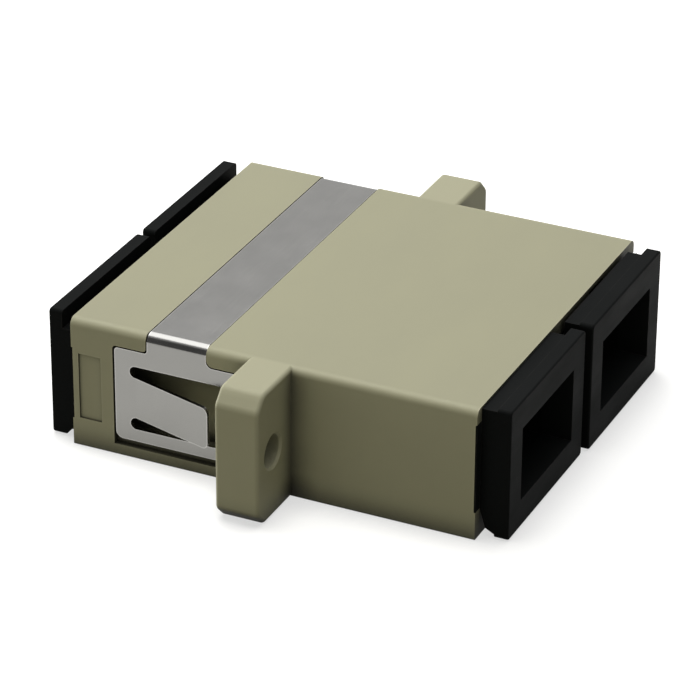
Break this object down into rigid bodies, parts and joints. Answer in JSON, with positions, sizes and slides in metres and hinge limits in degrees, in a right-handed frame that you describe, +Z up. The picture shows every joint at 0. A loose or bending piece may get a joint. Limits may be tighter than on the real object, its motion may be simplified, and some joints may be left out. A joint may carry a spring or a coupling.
{
  "type": "fibre optic adapter",
  "caption": "Duplex fibre optic adapter: flat beige body with a screw flange, a steel snap-in clip and black pull-out dust caps over square plug ports.",
  "frame": {"origin": "middle of the housing's bottom face; the bounding box's middle is 0.125 mm from it along X", "axes": "+X along the fibres, away from the clip; +Y across the two channels, along the flange; +Z up, out of the face that the clip crosses"},
  "size_m": [0.0322, 0.0356, 0.0091],
  "materials": {
    "beige_plastic": "fine matte moulding",
    "spring_steel": "bright rolled sheet",
    "black_plastic": "satin moulding",
    "holder_plastic": "plain moulding",
    "sleeve_metal": "bright bronze"
  },
  "bodies": {
    "body": {"housing": "beige_plastic", "mounting_clip": "spring_steel", "latch_holder_clip_end_a": "holder_plastic", "latch_holder_plain_end_a": "holder_plastic", "latch_holder_clip_end_b": "holder_plastic", "latch_holder_plain_end_b": "holder_plastic", "alignment_sleeve_a": "sleeve_metal", "alignment_sleeve_b": "sleeve_metal"},
    "cap_clip_end_a": {"dust_cap_clip_end_a": "black_plastic"},
    "cap_plain_end_a": {"dust_cap_plain_end_a": "black_plastic"},
    "cap_clip_end_b": {"dust_cap_clip_end_b": "black_plastic"},
    "cap_plain_end_b": {"dust_cap_plain_end_b": "black_plastic"}
  },
  "joints": [
    {"name": "cap_clip_end_a_pull", "type": "slide", "parent": "body", "child": "cap_clip_end_a", "axis": [-1, 0, 0], "range_m": [0, 0.01]},
    {"name": "cap_plain_end_a_pull", "type": "slide", "parent": "body", "child": "cap_plain_end_a", "axis": [1, 0, 0], "range_m": [0, 0.01]},
    {"name": "cap_clip_end_b_pull", "type": "slide", "parent": "body", "child": "cap_clip_end_b", "axis": [-1, 0, 0], "range_m": [0, 0.01]},
    {"name": "cap_plain_end_b_pull", "type": "slide", "parent": "body", "child": "cap_plain_end_b", "axis": [1, 0, 0], "range_m": [-0.00025, 0.01]}
  ]
}
